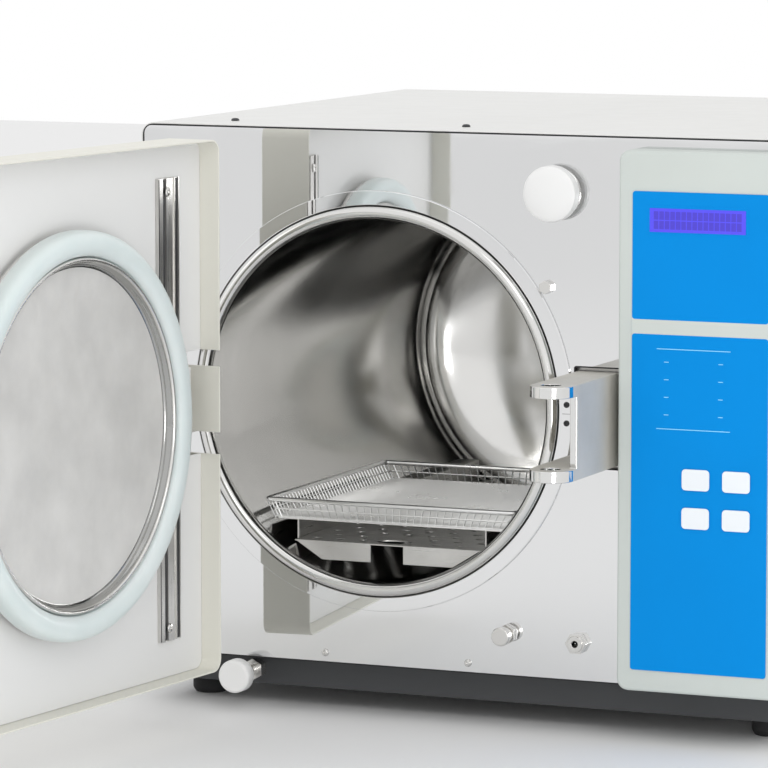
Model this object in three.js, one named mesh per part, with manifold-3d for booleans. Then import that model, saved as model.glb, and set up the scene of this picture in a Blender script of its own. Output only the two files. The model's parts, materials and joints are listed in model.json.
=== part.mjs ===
// Benchtop autoclave: a horizontal steam steriliser, stored with its door swung open.
// Millimetres. +X runs to the right seen from the front, +Y goes into the cabinet, +Z is up.
// The pieces are drawn about the centre of the chamber mouth, on the plane of the front
// panels, and the whole group is then moved so that its base rests on the origin.
import * as THREE from "three";
import { mergeVertices } from "three/addons/utils/BufferGeometryUtils.js";
import Module from "manifold-3d";

const wasm = await Module();
wasm.setup();

// ---------------------------------------------------------------- driving dimensions

const GAP = 0.3;
const SHEET = 1.5;

const CHAMBER_R = 197;
const CHAMBER_WALL = 4;
const CHAMBER_DEPTH = 590;
const DOME_DEPTH = 50;
const LIP_INNER_R = 195;
const LIP_OUTER_R = 209;
const LIP_FRONT = -8.7;
const RING_INNER_R = 210;
const RING_OUTER_R = 225;
const PANEL_HOLE_R = 212;
const JACKET_OUTER_R = 230;
const ROUND_SIDES = 72;

const CABINET_LEFT = -275;
const CABINET_RIGHT = 465;
const CABINET_TOP = 291;
const CABINET_BOTTOM = -290;
const CABINET_DEPTH = 700;
const CABINET_CORNER = 14;
const PANEL_BOTTOM = -285;
const SEAM_Z = -2;
const PLINTH_BOTTOM = -318;
const PLINTH_SETBACK = 26;
const FLOOR_Z = -340;

const HOUSING_LEFT = 285;
const HOUSING_TOP = 278;
const HOUSING_FRONT = -30;

const HINGE = { x: -243, y: -130 };
const LOCK = { x: 250, y: -130, z: -5.5 };
const DOOR_OPEN_DEG = 96;
const DOOR = { left: -271, right: 275, bottom: -280, top: 283, rim: -18, skin: -72, corner: 14, sheet: 2 };
const DOOR_PANEL_Y = -41;
const BAR = { front: -143, middle: -150, back: -117, bottom: -33, top: 27 };

const EAR_THICK = 12;
const LATCH_EAR = { top: 43.5, bottom: -54.5 };
const HINGE_EAR = { top: 58, bottom: -47 };
const PIN_R = 8;
const BOLT_R = 10;
const BOLT_LENGTH = 28;

const TRAY = { half: 108, top: -158, sheet: 1.2, front: 30, length: 480, lip: 20 };
const BASKET = { x: 3, rimHalf: 148, floorHalf: 136, rim: -113, floor: -136, front: 27, length: 330 };
const WIRE = 2.4;

// ---------------------------------------------------------------- colours

const PAINT = material(0xe6e5df, 0.4, 0.1);
const DOOR_PAINT = material(0xe4e1d8, 0.45, 0.1);
const HOUSING_PAINT = material(0xb9c1bd, 0.5, 0.1);
const MIRROR_STEEL = material(0xd8dadb, 0.08, 1);
const BRUSHED_STEEL = material(0xb4b5b5, 0.32, 1);
const DARK_STEEL = material(0x4a4b4d, 0.4, 1);
const GALVANISED = material(0x9fa3a5, 0.5, 0.9);
const WHITE_PLASTIC = material(0xf2f2ef, 0.4, 0);
const BLACK_PLASTIC = material(0x202123, 0.5, 0);
const RUBBER = material(0x1d1d1e, 0.85, 0);
const SILICONE = material(0xd8e3e6, 0.35, 0);
const BLUE_FILM = material(0x0a8fe0, 0.3, 0);
const LCD = material(0x4a45d8, 0.15, 0);
const WOOL = material(0xd9d2bd, 0.95, 0);
const BOARD_GREEN = material(0x1d6b3f, 0.5, 0);
const BRASS = material(0xb59a55, 0.35, 1);

function material(color, roughness, metalness) {
  return new THREE.MeshStandardMaterial({ color, roughness, metalness });
}

// ---------------------------------------------------------------- shape helpers

function place(parent, name, geometry, surface) {
  const mesh = new THREE.Mesh(geometry, surface);
  mesh.name = name;
  parent.add(mesh);
}

function box(x0, x1, y0, y1, z0, z1) {
  const geometry = new THREE.BoxGeometry(x1 - x0, y1 - y0, z1 - z0);
  return geometry.translate((x0 + x1) / 2, (y0 + y1) / 2, (z0 + z1) / 2);
}

function cylinderY(radius, y0, y1, x = 0, z = 0, sides = 24) {
  const geometry = new THREE.CylinderGeometry(radius, radius, y1 - y0, sides);
  return geometry.translate(x, (y0 + y1) / 2, z);
}

function cylinderZ(radius, z0, z1, x = 0, y = 0, sides = 24) {
  const geometry = new THREE.CylinderGeometry(radius, radius, z1 - z0, sides);
  return geometry.rotateX(Math.PI / 2).translate(x, y, (z0 + z1) / 2);
}

// Turns a profile of [radius, depth] pairs about the Y axis. The outside of the piece runs
// towards +Y, and a profile that doesn't start and end on the axis is closed on itself.
function turnedY(profile, x = 0, z = 0, sides = 24) {
  const points = profile.map(([radius, depth]) => new THREE.Vector2(radius, depth));
  if (profile[0][0] > 0) {
    points.push(points[0].clone());
  }
  return welded(new THREE.LatheGeometry(points, sides)).translate(x, 0, z);
}

// The same turning, stood up on the Z axis: pairs are [radius, height].
function turnedZ(profile, x, y, sides = 24) {
  return turnedY(profile, 0, 0, sides).rotateX(Math.PI / 2).translate(x, y, 0);
}

function welded(geometry) {
  geometry.deleteAttribute("normal");
  geometry.deleteAttribute("uv");
  const merged = mergeVertices(geometry, 1e-4);
  const kept = [];
  const index = merged.index.array;
  for (let i = 0; i < index.length; i += 3) {
    const [a, b, c] = index.slice(i, i + 3);
    if (a !== b && b !== c && c !== a) {
      kept.push(a, b, c);
    }
  }
  merged.setIndex(kept);
  merged.computeVertexNormals();
  return merged;
}

function toSolid(geometry) {
  const merged = welded(geometry.clone());
  const vertProperties = new Float32Array(merged.attributes.position.array);
  const triVerts = new Uint32Array(merged.index.array);
  return new wasm.Manifold(new wasm.Mesh({ numProp: 3, vertProperties, triVerts }));
}

function fromSolid(solid) {
  const mesh = solid.getMesh();
  const geometry = new THREE.BufferGeometry();
  geometry.setAttribute("position", new THREE.BufferAttribute(mesh.vertProperties, 3));
  geometry.setIndex(new THREE.BufferAttribute(mesh.triVerts, 1));
  geometry.computeVertexNormals();
  return geometry;
}

function cut(body, ...tools) {
  return fromSolid(tools.reduce((solid, tool) => solid.subtract(toSolid(tool)), toSolid(body)));
}

function join(body, ...others) {
  return fromSolid(others.reduce((solid, other) => solid.add(toSolid(other)), toSolid(body)));
}

function overlapOf(body, other) {
  return fromSolid(toSolid(body).intersect(toSolid(other)));
}

function outline(points) {
  return new THREE.Shape(points.map(([u, v]) => new THREE.Vector2(u, v)));
}

function roundedRect(x0, x1, z0, z1, radius) {
  const shape = new THREE.Shape();
  shape.absarc(x1 - radius, z0 + radius, radius, -Math.PI / 2, 0);
  shape.absarc(x1 - radius, z1 - radius, radius, 0, Math.PI / 2);
  shape.absarc(x0 + radius, z1 - radius, radius, Math.PI / 2, Math.PI);
  shape.absarc(x0 + radius, z0 + radius, radius, Math.PI, Math.PI * 1.5);
  return shape;
}

// Extrudes an outline drawn in X and Z along Y.
function alongY(shape, y0, y1, curveSegments = 4) {
  const options = { depth: y1 - y0, bevelEnabled: false, curveSegments };
  return new THREE.ExtrudeGeometry(shape, options).rotateX(Math.PI / 2).translate(0, y1, 0);
}

// Extrudes an outline drawn in X and Y along Z.
function alongZ(shape, z0, z1, curveSegments = 4) {
  const options = { depth: z1 - z0, bevelEnabled: false, curveSegments };
  return new THREE.ExtrudeGeometry(shape, options).translate(0, 0, z0);
}

function arcPoints(count, radiusAt) {
  return Array.from({ length: count + 1 }, (_, i) => radiusAt(i / count));
}

function screwHead(radius, height) {
  return [
    [0, 0],
    [radius, 0],
    [radius, 0.3 * height],
    [0.75 * radius, 0.8 * height],
    [0.4 * radius, 0.95 * height],
    [0.4 * radius, 0.4 * height],
    [0, 0.4 * height],
  ];
}

// ---------------------------------------------------------------- cabinet

function cabinetCover() {
  const outer = roundedRect(CABINET_LEFT, CABINET_RIGHT, CABINET_BOTTOM - 40, CABINET_TOP, CABINET_CORNER);
  const inner = roundedRect(
    CABINET_LEFT + SHEET,
    CABINET_RIGHT - SHEET,
    CABINET_BOTTOM - 60,
    CABINET_TOP - SHEET,
    CABINET_CORNER - SHEET,
  );
  return cut(
    alongY(outer, 0, CABINET_DEPTH),
    alongY(inner, -10, CABINET_DEPTH + 10),
    box(CABINET_LEFT - 10, CABINET_RIGHT + 10, -10, CABINET_DEPTH + 10, CABINET_BOTTOM - 70, CABINET_BOTTOM),
  );
}

function baseTray() {
  const left = CABINET_LEFT + 11;
  const right = CABINET_RIGHT - 13;
  const back = CABINET_DEPTH - 10;
  const wall = 2;
  return cut(
    box(left, right, PLINTH_SETBACK, back, PLINTH_BOTTOM, -265),
    box(left + wall, right - wall, PLINTH_SETBACK + wall, back - wall, PLINTH_BOTTOM + wall, -200),
    cylinderY(DRAIN.stemR + 0.5, 0, 60, DRAIN.x, DRAIN.z),
  );
}

function rearPanel() {
  const louvres = Array.from({ length: 6 }, (_, i) => box(300, 420, 690, 710, 60 + i * 22, 66 + i * 22));
  const inlet = box(INLET.left - 1, INLET.right + 1, 690, 710, INLET.bottom - 1, INLET.top + 1);
  const plate = box(
    CABINET_LEFT + SHEET + GAP,
    CABINET_RIGHT - SHEET - GAP,
    CABINET_DEPTH - 3,
    CABINET_DEPTH - 3 + SHEET,
    CABINET_BOTTOM,
    CABINET_TOP - CABINET_CORNER - GAP,
  );
  return cut(plate, inlet, ...louvres);
}

// One of the two front skins. They meet at a seam level with the middle of the door.
function frontPanel(z0, z1) {
  const left = CABINET_LEFT + SHEET + GAP;
  const right = CABINET_RIGHT - SHEET - GAP;
  const top = CABINET_TOP - SHEET - GAP;
  const corner = CABINET_CORNER - SHEET - GAP;
  const whole = alongY(roundedRect(left, right, PANEL_BOTTOM - 40, top, corner), GAP, GAP + SHEET);
  return cut(
    overlapOf(whole, box(left - 5, right + 5, -5, 10, z0, z1)),
    cylinderY(PANEL_HOLE_R, -5, 10, 0, 0, ROUND_SIDES),
    box(HINGE.x - 20, HINGE.x + 19, -5, 10, HINGE_EAR.bottom - 3, HINGE_EAR.top + 3),
    box(226.5, 279, -5, 10, LATCH_EAR.bottom - 3.5, LATCH_EAR.top + 4),
    box(305, 445, -5, 10, 30, 250),
    box(305, 445, -5, 10, -250, -30),
    cylinderY(OUTLET.boreR, -5, 10, OUTLET.x, OUTLET.z, 20),
  );
}

function foot(x, y) {
  const top = PLINTH_BOTTOM - GAP;
  return turnedZ([[0, FLOOR_Z], [17, FLOOR_Z], [20, FLOOR_Z + 5], [20, top], [0, top]], x, y);
}

function addCabinet(parent) {
  place(parent, "cabinet_cover", cabinetCover(), PAINT);
  place(parent, "base_tray", baseTray(), DARK_STEEL);
  place(parent, "rear_panel", rearPanel(), GALVANISED);
  place(parent, "front_panel_upper", frontPanel(SEAM_Z + 0.2, CABINET_TOP), MIRROR_STEEL);
  place(parent, "front_panel_lower", frontPanel(PANEL_BOTTOM, SEAM_Z - 0.2), MIRROR_STEEL);
  for (const [side, x] of [["left", -230], ["right", 420]]) {
    place(parent, `foot_front_${side}`, foot(x, 75), RUBBER);
    place(parent, `foot_rear_${side}`, foot(x, 640), RUBBER);
    const screwX = side === "left" ? -190 : 80;
    const head = turnedZ(screwHead(4.5, 2.8), screwX, 57, 16).translate(0, 0, CABINET_TOP + GAP);
    place(parent, `cover_screw_${side}`, head, DARK_STEEL);
    const panelX = side === "left" ? -59 : 106.5;
    const panelHead = turnedZ(screwHead(4, 2.4), 0, 0, 16).rotateX(Math.PI / 2).translate(panelX, 0, -274);
    place(parent, `panel_screw_${side}`, panelHead, BRUSHED_STEEL);
  }
}

// ---------------------------------------------------------------- chamber

function domeProfile(radius, apexY) {
  return arcPoints(6, (t) => {
    const angle = (t * Math.PI) / 2;
    return [radius * Math.sin(angle), CHAMBER_DEPTH + (apexY - CHAMBER_DEPTH) * Math.cos(angle)];
  });
}

function chamberShell() {
  const outerR = CHAMBER_R + CHAMBER_WALL;
  const crestR = (LIP_INNER_R + LIP_OUTER_R) / 2;
  const halfLip = (LIP_OUTER_R - LIP_INNER_R) / 2;
  const lip = arcPoints(6, (t) => {
    const angle = Math.PI - t * Math.PI;
    return [crestR + halfLip * Math.cos(angle), LIP_FRONT * Math.sin(angle)];
  });
  return turnedY(
    [
      ...domeProfile(CHAMBER_R, CHAMBER_DEPTH + DOME_DEPTH),
      [CHAMBER_R, 8],
      ...lip,
      [outerR + 4, 3],
      [outerR, 7],
      ...domeProfile(outerR, CHAMBER_DEPTH + DOME_DEPTH + CHAMBER_WALL).reverse(),
    ],
    0,
    0,
    ROUND_SIDES,
  );
}

function ringBand(innerR, outerR, y0, y1) {
  return turnedY([[innerR, y0], [outerR, y0], [outerR, y1], [innerR, y1]], 0, 0, ROUND_SIDES);
}

// The thick frame plate behind the front panels, which carries both door brackets.
function doorYoke() {
  const reach = 72;
  return cut(
    join(
      cylinderY(RING_OUTER_R, 8, 24, 0, 0, ROUND_SIDES),
      box(-268, 278, 8, 24, -reach, reach),
    ),
    cylinderY(LIP_OUTER_R + 2, 0, 40, 0, 0, ROUND_SIDES),
  );
}

function saddle(y) {
  const seat = cylinderY(JACKET_OUTER_R + 0.5, y - 10, y + 20, 0, 0, ROUND_SIDES);
  return cut(box(-190, 190, y, y + 8, PLINTH_BOTTOM + 2 + GAP, -140), seat);
}

// A rod bent into three hairpins that lie side by side on the chamber floor.
function heatingElement() {
  const rodR = 4.2;
  const pitch = 40;
  const front = 240;
  const back = 540;
  const route = new THREE.CurvePath();
  const at = (x, y) => new THREE.Vector3(x, y, -178);
  const bend = (x, y, towards) => {
    const crown = at(x + pitch / 2, y + towards);
    route.add(new THREE.QuadraticBezierCurve3(at(x, y), at(x, y + towards), crown));
    route.add(new THREE.QuadraticBezierCurve3(crown, at(x + pitch, y + towards), at(x + pitch, y)));
  };
  const leg = (x, y0, y1) => route.add(new THREE.LineCurve3(at(x, y0), at(x, y1)));
  leg(-1.5 * pitch, back + 45, front);
  bend(-1.5 * pitch, front, -pitch / 2);
  leg(-0.5 * pitch, front, back);
  bend(-0.5 * pitch, back, pitch / 2);
  leg(0.5 * pitch, back, front);
  bend(0.5 * pitch, front, -pitch / 2);
  leg(1.5 * pitch, front, back + 45);
  const section = new THREE.Shape().absarc(0, 0, rodR, 0, Math.PI * 2);
  const options = { steps: 90, extrudePath: route, bevelEnabled: false, curveSegments: 4 };
  return new THREE.ExtrudeGeometry(section, options);
}

// A folded steel strip with a low ledge for the tray and a high ledge for the basket.
function sideRack(side) {
  const trayLedge = TRAY.top - TRAY.sheet - GAP;
  const basketLedge = BASKET.floor - GAP;
  const strip = 2;
  const web = TRAY.half + 0.5;
  const section = outline([
    [side * (TRAY.half - 17), trayLedge - strip],
    [side * (web + strip), trayLedge - strip],
    [side * (web + strip), basketLedge - strip],
    [side * (BASKET.floorHalf - 2), basketLedge - strip],
    [side * (BASKET.floorHalf - 2), basketLedge],
    [side * web, basketLedge],
    [side * web, trayLedge],
    [side * (TRAY.half - 17), trayLedge],
  ]);
  return alongY(section, 42, 560);
}

function addChamber(parent) {
  place(parent, "chamber_shell", chamberShell(), MIRROR_STEEL);
  place(parent, "chamber_front_ring", ringBand(RING_INNER_R, RING_OUTER_R, -3.2, 0), MIRROR_STEEL);
  const jacketInnerR = CHAMBER_R + CHAMBER_WALL + 0.6;
  place(parent, "insulation_jacket", ringBand(jacketInnerR, JACKET_OUTER_R, 40, 585), WOOL);
  place(parent, "door_yoke", doorYoke(), BRUSHED_STEEL);
  place(parent, "chamber_saddle_front", saddle(120), GALVANISED);
  place(parent, "chamber_saddle_rear", saddle(500), GALVANISED);
  place(parent, "heating_element", heatingElement(), BRUSHED_STEEL);
  place(parent, "side_rack_left", sideRack(-1), BRUSHED_STEEL);
  place(parent, "side_rack_right", sideRack(1), BRUSHED_STEEL);
}

// ---------------------------------------------------------------- door brackets

const BRACKET_ROOT_Y = 7.7;

function hingeBracket() {
  const { top, bottom } = HINGE_EAR;
  const noseR = 17;
  const body = join(
    box(HINGE.x - noseR, HINGE.x + noseR - 1, HINGE.y, BRACKET_ROOT_Y, bottom, top),
    cylinderZ(noseR, bottom, top, HINGE.x, HINGE.y, 32),
  );
  const gap = box(-300, -150, -160, 2.5, bottom + EAR_THICK, top - EAR_THICK);
  return cut(body, gap, cylinderZ(PIN_R + GAP, -80, 80, HINGE.x, HINGE.y, 24));
}

function latchBracket() {
  const { top, bottom } = LATCH_EAR;
  const noseR = 23;
  const right = 275;
  const left = right - 2 * noseR;
  const noseY = LOCK.y - 1;
  const webFront = -120;
  const webThick = 8;
  const ears = join(
    box(left, right, noseY, BRACKET_ROOT_Y, bottom, top),
    cylinderZ(noseR, bottom, top, (left + right) / 2, noseY, 40),
  );
  const gapBottom = bottom + EAR_THICK;
  const gapTop = top - EAR_THICK;
  return cut(
    ears,
    box(left - 1, right - webThick, -160, 2.5, gapBottom, gapTop),
    box(left - 1, right + 1, -160, webFront, gapBottom, gapTop),
    cylinderZ(BOLT_R + 0.5, -80, 80, LOCK.x, LOCK.y, 24),
  );
}

function hingePin() {
  const headR = PIN_R + 4;
  const head = HINGE_EAR.top + GAP;
  const foot = HINGE_EAR.bottom - 4;
  const shaft = [[0, foot], [PIN_R, foot], [PIN_R, head]];
  return turnedZ([...shaft, [headR, head], [headR, head + 4], [0, head + 4]], HINGE.x, HINGE.y);
}

function addBrackets(parent) {
  place(parent, "hinge_bracket", hingeBracket(), BRUSHED_STEEL);
  place(parent, "hinge_pin", hingePin(), BRUSHED_STEEL);
  place(parent, "latch_bracket", latchBracket(), BRUSHED_STEEL);
}

// ---------------------------------------------------------------- front fittings

const FILTER = { x: 205, z: 229 };
const PORT = { x: 151, z: -240, neckFront: -12, capFront: -21 };
const OUTLET = { x: 231.5, z: -244, hexR: 11.5, hexFront: -9.5, face: -11, faceR: 8.5, boreR: 3.6 };
const DRAIN = { x: -151, z: -301, stemR: 6, knobR: 18, knobFront: -38, knobBack: -20 };

function airFilterCap() {
  const capR = 29.5;
  const back = -8 - GAP;
  const front = -26;
  return turnedY(
    [
      [0, front],
      [capR * 0.45, front + 0.6],
      [capR * 0.75, front + 2.2],
      [capR * 0.93, front + 5],
      [capR, front + 9],
      [capR, back - 2],
      [capR - 2, back],
      [0, back],
    ],
    FILTER.x,
    FILTER.z,
    40,
  );
}

function airFilterCollar() {
  return turnedY([[0, -8], [22, -8], [27, -3], [27, 0], [0, 0]], FILTER.x, FILTER.z, 32);
}

function validationPort() {
  const { x, z, neckFront } = PORT;
  const hex = new THREE.CylinderGeometry(11, 11, 5, 6).translate(x, -2.5, z);
  const neckR = 7.4;
  const crestR = 8.6;
  const thread = (y) => [[neckR, y - 1.1], [crestR, y - 0.5], [crestR, y + 0.5], [neckR, y + 1.1]];
  const neck = [[0, neckFront], [neckR, neckFront], ...thread(-10.4), ...thread(-7.4), [neckR, -4], [0, -4]];
  return join(hex, turnedY(neck, x, z, 20));
}

function validationCap() {
  const { x, z, neckFront, capFront } = PORT;
  const capR = 10;
  const back = neckFront - GAP;
  const face = [[0, capFront], [capR - 1, capFront], [capR, capFront + 1]];
  return turnedY([...face, [capR, back], [0, back]], x, z, 24);
}

function outletFitting() {
  const { x, z, hexR, hexFront, face, faceR, boreR } = OUTLET;
  const hex = new THREE.CylinderGeometry(hexR, hexR, -hexFront, 6).rotateY(Math.PI / 6);
  const body = join(hex.translate(x, hexFront / 2, z), cylinderY(faceR, face, hexFront + 2, x, z));
  return cut(body, cylinderY(boreR, face - 5, 5, x, z, 20));
}

function drainStem() {
  const { x, z, stemR, knobFront } = DRAIN;
  return join(
    cylinderY(stemR, knobFront + 12, 60, x, z),
    cylinderY(12, 12, PLINTH_SETBACK - GAP, x, z, 6),
    cylinderY(12, PLINTH_SETBACK + 2 + GAP, 38, x, z, 6),
  );
}

function drainKnob() {
  const { x, z, stemR, knobR, knobFront, knobBack } = DRAIN;
  const boreR = stemR + GAP;
  return turnedY(
    [
      [0, knobFront],
      [knobR - 5, knobFront],
      [knobR - 1.5, knobFront + 1.5],
      [knobR, knobFront + 5],
      [knobR, knobBack - 2],
      [knobR - 1.5, knobBack],
      [boreR, knobBack],
      [boreR, knobFront + 12 - GAP],
      [0, knobFront + 12 - GAP],
    ],
    x,
    z,
    36,
  );
}

function addFrontFittings(parent) {
  place(parent, "air_filter_collar", airFilterCollar(), BRUSHED_STEEL);
  place(parent, "air_filter_cap", airFilterCap(), WHITE_PLASTIC);
  place(parent, "ring_clamp_bolt", cylinderY(7.5, -7, 0, 195, 130, 6), BRUSHED_STEEL);
  place(parent, "validation_port", validationPort(), BRUSHED_STEEL);
  place(parent, "validation_cap", validationCap(), BRUSHED_STEEL);
  place(parent, "outlet_fitting", outletFitting(), BRUSHED_STEEL);
  place(parent, "drain_valve_stem", drainStem(), BRUSHED_STEEL);
  place(parent, "drain_valve_knob", drainKnob(), WHITE_PLASTIC);
}

// ---------------------------------------------------------------- control panel

const FILM = { left: 301, right: 449, bottom: -262, top: 236, front: HOUSING_FRONT - 1.3 };
const KEY_COLUMNS = [372, 416];
const KEY_ROWS = [-60, -100];
const KEY_NAMES = [["start", "stop"], ["up", "down"]];

function controlHousing() {
  const round = 12;
  const wall = 3;
  const bevel = 4;
  const shape = roundedRect(
    HOUSING_LEFT + bevel,
    CABINET_RIGHT - bevel,
    PANEL_BOTTOM + bevel,
    HOUSING_TOP - bevel,
    round - bevel,
  );
  const options = { depth: 50, bevelSize: bevel, bevelThickness: bevel, bevelSegments: 3, curveSegments: 3 };
  const outer = new THREE.ExtrudeGeometry(shape, options)
    .rotateX(Math.PI / 2)
    .translate(0, HOUSING_FRONT + bevel + options.depth, 0);
  const cavity = alongY(
    roundedRect(
      HOUSING_LEFT + wall,
      CABINET_RIGHT - wall,
      PANEL_BOTTOM + wall,
      HOUSING_TOP - wall,
      round - wall,
    ),
    HOUSING_FRONT + wall,
    60,
    3,
  );
  const behind = box(HOUSING_LEFT - 20, CABINET_RIGHT + 20, -GAP, 80, PANEL_BOTTOM - 20, HOUSING_TOP + 20);
  return cut(outer, cavity, behind);
}

function addControls(parent) {
  place(parent, "control_housing", controlHousing(), HOUSING_PAINT);
  const film = alongY(
    roundedRect(FILM.left, FILM.right, FILM.bottom, FILM.top, 3),
    FILM.front,
    HOUSING_FRONT - GAP,
    2,
  );
  place(parent, "membrane_panel", film, BLUE_FILM);
  place(parent, "display_window", box(320, 424, FILM.front - 0.9, FILM.front - GAP, 194.6, 219), LCD);
  KEY_ROWS.forEach((z, row) => {
    KEY_COLUMNS.forEach((x, column) => {
      const cap = roundedRect(x - 15, x + 15, z - 11, z + 11, 4);
      const geometry = alongY(cap, FILM.front - 1.8, FILM.front - 0.8, 2);
      place(parent, `key_${KEY_NAMES[row][column]}`, geometry, WHITE_PLASTIC);
    });
  });
}

// ---------------------------------------------------------------- service parts

const INLET = { left: 382, right: 428, bottom: -235, top: -165, front: 668, back: 703 };
const ROCKER = { x: 405, y: 696, z: -181, tiltDeg: 6 };

function powerInlet() {
  const body = box(INLET.left, INLET.right, INLET.front, INLET.back, INLET.bottom, INLET.top);
  const plateBack = CABINET_DEPTH - 3 + SHEET + GAP;
  const flange = box(INLET.left - 6, INLET.right + 6, plateBack, INLET.back, INLET.bottom - 6, INLET.top + 6);
  const socket = box(392, 418, 685, 710, -228, -208);
  const well = box(ROCKER.x - 11, ROCKER.x + 11, 684, 710, ROCKER.z - 11, ROCKER.z + 11);
  return cut(join(body, flange), socket, well);
}

function mainSwitch() {
  const section = new THREE.CylinderGeometry(8.5, 8.5, 20, 24, 1);
  section.rotateZ(Math.PI / 2);
  const paddle = box(-10, 10, 0, 9, -8.5, 8.5);
  const tilt = THREE.MathUtils.degToRad(-ROCKER.tiltDeg);
  return join(section, paddle).rotateX(tilt).translate(ROCKER.x, ROCKER.y, ROCKER.z);
}

function vacuumPump() {
  const floor = PLINTH_BOTTOM + 2 + GAP;
  return join(
    box(325, 415, 190, 330, floor, floor + 8),
    box(350, 390, 200, 320, floor, -250),
    cylinderY(42, 180, 340, 370, -240, 28),
  );
}

function safetyValve() {
  const dome = CHAMBER_DEPTH + DOME_DEPTH + CHAMBER_WALL + GAP;
  return turnedY([[0, dome], [9, dome], [9, 660], [15, 660], [15, 680], [10, 690], [0, 690]], 0, 0, 20);
}

function addServiceParts(parent) {
  place(parent, "control_board", box(310, 440, 12, 14, 40, 240), BOARD_GREEN);
  place(parent, "power_module", box(300, 440, 420, 560, PLINTH_BOTTOM + 2 + GAP, -200), GALVANISED);
  place(parent, "vacuum_pump", vacuumPump(), DARK_STEEL);
  place(parent, "safety_valve", safetyValve(), BRASS);
  place(parent, "power_inlet", powerInlet(), BLACK_PLASTIC);
  place(parent, "main_switch", mainSwitch(), BLACK_PLASTIC);
}

// ---------------------------------------------------------------- tray and basket

function perforatedTray() {
  const { half, top, sheet, front, length, lip } = TRAY;
  const notch = 19;
  const flap = (side) =>
    alongY(
      outline([
        [side * notch, top],
        [side * half, top],
        [side * 76, top - lip],
        [side * notch, top - lip],
      ]),
      front,
      front + sheet,
    );
  const plate = box(-half, half, front, front + length, top - sheet, top);
  const fingerHole = new THREE.Shape().absellipse(0, 52, 20, 12, 0, Math.PI * 2);
  return cut(join(plate, flap(-1), flap(1)), alongZ(fingerHole, top - 10, top + 10, 12));
}

function wireBasket() {
  const { x, rimHalf, floorHalf, rim, floor, front, length } = BASKET;
  const shell = alongY(
    outline([[-floorHalf, floor], [floorHalf, floor], [rimHalf, rim], [-rimHalf, rim]]),
    front,
    front + length,
  );
  const slope = (rimHalf - floorHalf) / (rim - floor);
  const innerHalf = (z) => floorHalf + slope * (z - floor) - WIRE;
  const low = floor + WIRE;
  const high = rim + 10;
  const hollow = alongY(
    outline([
      [-innerHalf(low), low],
      [innerHalf(low), low],
      [innerHalf(high), high],
      [-innerHalf(high), high],
    ]),
    front + WIRE,
    front + length - WIRE,
  );
  return cut(shell, hollow).translate(x, 0, 0);
}

function addLoadCarriers(parent) {
  place(parent, "perforated_tray", perforatedTray(), BRUSHED_STEEL);
  place(parent, "wire_basket", wireBasket(), BRUSHED_STEEL);
}

// ---------------------------------------------------------------- door, drawn closed

function doorOutline(inset) {
  return roundedRect(
    DOOR.left + inset,
    DOOR.right - inset,
    DOOR.bottom + inset,
    DOOR.top - inset,
    DOOR.corner - inset,
  );
}

// Slots at the hinge edge that let the two ears of the hinge bracket through.
function hingeSlots() {
  const slot = (z0, z1) => box(DOOR.left - 5, HINGE.x + 21, DOOR.skin - 5, 0, z0, z1);
  return [
    slot(HINGE_EAR.top - EAR_THICK - 2, HINGE_EAR.top + 3),
    slot(HINGE_EAR.bottom - 2, HINGE_EAR.bottom + 21),
  ];
}

// The gap at the free edge that the latch bracket stands in when the door is shut.
function latchGap() {
  return box(216, DOOR.right + 5, DOOR.skin - 5, 0, LATCH_EAR.bottom - 5.5, LATCH_EAR.top + 5.5);
}

function doorCover() {
  return cut(
    alongY(doorOutline(0), DOOR.skin, DOOR.rim),
    alongY(doorOutline(DOOR.sheet), DOOR.skin + DOOR.sheet, DOOR.rim + 1),
    cylinderY(LID_STUD_R + 2, DOOR.skin - 5, 0, 0, 0, 32),
    ...hingeSlots(),
    latchGap(),
  );
}

function doorInnerPanel() {
  return cut(
    alongY(doorOutline(DOOR.sheet + GAP), DOOR_PANEL_Y - SHEET, DOOR_PANEL_Y),
    cylinderY(LID_STUD_R + 2, DOOR_PANEL_Y - 5, 0, 0, 0, 32),
    ...hingeSlots(),
    box(DOOR.left - 5, -249, DOOR_PANEL_Y - 5, 0, HINGE_EAR.bottom, HINGE_EAR.top),
    latchGap(),
  );
}

const LID = { back: -36, outerR: 204, seat: -30, lipR: 180, lipFront: -15, discR: 171, disc: -26 };
const LID_STUD_R = 28;

function pressureLid() {
  const { back, outerR, seat, lipR, lipFront, discR, disc } = LID;
  return turnedY(
    [
      [0, back],
      [outerR, back],
      [outerR, seat],
      [lipR, seat],
      [lipR, lipFront - 2],
      [lipR - 2, lipFront],
      [lipR - 5, lipFront],
      [discR + 1, disc + 3],
      [discR - 2, disc],
      [0, disc],
    ],
    0,
    0,
    ROUND_SIDES,
  );
}

// The door seal: a thick silicone ring with a rounded face, held in the step of the lid.
function doorGasket() {
  const innerR = LID.lipR + 0.5;
  const outerR = 207;
  const back = LID.seat + GAP;
  const crest = LIP_FRONT - GAP;
  const middleR = (innerR + outerR) / 2;
  const halfWidth = (outerR - innerR) / 2;
  const shoulder = back + 8;
  const face = arcPoints(8, (t) => {
    const angle = t * Math.PI;
    return [middleR + halfWidth * Math.cos(angle), shoulder + (crest - shoulder) * Math.sin(angle)];
  });
  return turnedY([[innerR, back], [outerR, back], ...face], 0, 0, ROUND_SIDES);
}

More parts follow.
